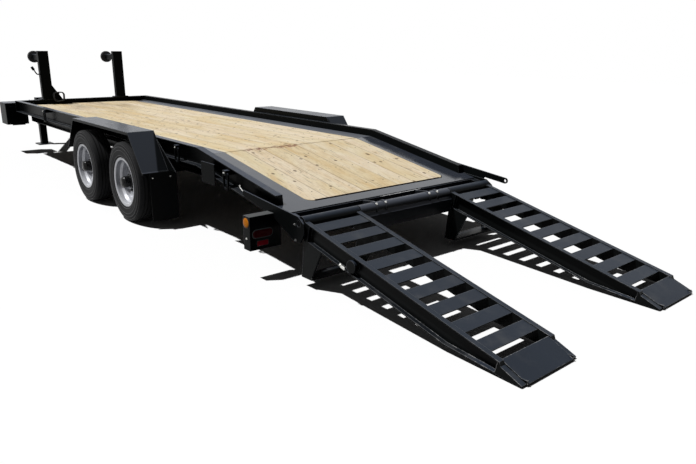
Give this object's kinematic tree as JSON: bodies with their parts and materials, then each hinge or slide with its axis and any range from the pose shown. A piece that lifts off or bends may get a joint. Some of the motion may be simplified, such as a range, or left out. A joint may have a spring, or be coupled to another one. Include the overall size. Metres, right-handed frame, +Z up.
{
  "type": "low loader trailer with folding ramps",
  "caption": "Flat low loader trailer with timber bed, beaver tail, hinged loading ramps, fenders, roller posts at the front and a towing eye.",
  "frame": {"origin": "middle of the bounding box at ground level", "axes": "+X forward towards the towing eye, +Y left, +Z up"},
  "size_m": [10.85, 2.674, 1.542],
  "materials": {
    "frame_paint": "satin black paint",
    "deck_paint": "satin black paint that mirrors the sky",
    "wood": "bare pine planks",
    "tyre": "matt black rubber",
    "rubber": "matt black rubber sheet",
    "wheel_paint": "silver wheel paint",
    "hub_paint": "gloss black paint",
    "lamp": "red lens",
    "cable": "black cable sheath"
  },
  "bodies": {
    "chassis": {"axle_front": "frame_paint", "axle_rear": "frame_paint", "cable_coil": "cable", "crossmembers": "frame_paint", "deck_planks": "wood", "edge_strip_left": "deck_paint", "edge_strip_right": "deck_paint", "fender_left": "deck_paint", "fender_right": "deck_paint", "front_box": "frame_paint", "front_rail": "frame_paint", "hinge_pin": "frame_paint", "hitch": "frame_paint", "jack": "frame_paint", "lamp_box_left": "frame_paint", "lamp_box_right": "frame_paint", "lamps_left": "lamp", "lamps_right": "lamp", "main_rail_left": "frame_paint", "main_rail_right": "frame_paint", "mud_flap_left": "rubber", "mud_flap_right": "rubber", "post_left": "frame_paint", "post_right": "frame_paint", "side_plate": "frame_paint", "side_rail_left": "frame_paint", "side_rail_right": "frame_paint", "tail_arm": "frame_paint", "tail_beam": "frame_paint", "tail_planks": "wood", "tail_plate": "deck_paint", "tie_rings_left": "frame_paint", "tie_rings_right": "frame_paint", "tongue_left": "frame_paint", "tongue_right": "frame_paint"},
    "road_wheel_front_left": {"tyre_front_left": "tyre", "wheel_front_left": "wheel_paint", "hub_front_left": "hub_paint"},
    "road_wheel_front_right": {"tyre_front_right": "tyre", "wheel_front_right": "wheel_paint", "hub_front_right": "hub_paint"},
    "road_wheel_rear_left": {"tyre_rear_left": "tyre", "wheel_rear_left": "wheel_paint", "hub_rear_left": "hub_paint"},
    "road_wheel_rear_right": {"tyre_rear_right": "tyre", "wheel_rear_right": "wheel_paint", "hub_rear_right": "hub_paint"},
    "ramp_left": {"ramp_frame_left": "frame_paint", "ramp_slats_left": "deck_paint"},
    "ramp_right": {"ramp_frame_right": "frame_paint", "ramp_slats_right": "deck_paint"},
    "post_roller_left": {"roller_left": "frame_paint"},
    "post_roller_right": {"roller_right": "frame_paint"}
  },
  "joints": [
    {"name": "road_wheel_front_left_spin", "type": "hinge", "parent": "chassis", "child": "road_wheel_front_left", "pos_m": [-0.049, 1.215, 0.3835], "axis": [0, 1, 0], "continuous": true},
    {"name": "road_wheel_front_right_spin", "type": "hinge", "parent": "chassis", "child": "road_wheel_front_right", "pos_m": [-0.049, -1.215, 0.3835], "axis": [0, 1, 0], "continuous": true},
    {"name": "road_wheel_rear_left_spin", "type": "hinge", "parent": "chassis", "child": "road_wheel_rear_left", "pos_m": [-1.122, 1.215, 0.3835], "axis": [0, 1, 0], "continuous": true},
    {"name": "road_wheel_rear_right_spin", "type": "hinge", "parent": "chassis", "child": "road_wheel_rear_right", "pos_m": [-1.122, -1.215, 0.3835], "axis": [0, 1, 0], "continuous": true},
    {"name": "ramp_left_hinge", "type": "hinge", "parent": "chassis", "child": "ramp_left", "pos_m": [-3.572, 0.765, 0.463], "axis": [0, 1, 0], "range_deg": [0, 103]},
    {"name": "ramp_right_hinge", "type": "hinge", "parent": "chassis", "child": "ramp_right", "pos_m": [-3.572, -0.765, 0.463], "axis": [0, 1, 0], "range_deg": [0, 103]},
    {"name": "roller_left_spin", "type": "hinge", "parent": "chassis", "child": "post_roller_left", "pos_m": [4.165, 0.575, 1.449], "axis": [1, 0, 0], "continuous": true},
    {"name": "roller_right_spin", "type": "hinge", "parent": "chassis", "child": "post_roller_right", "pos_m": [4.165, -0.575, 1.449], "axis": [1, 0, 0], "continuous": true}
  ]
}
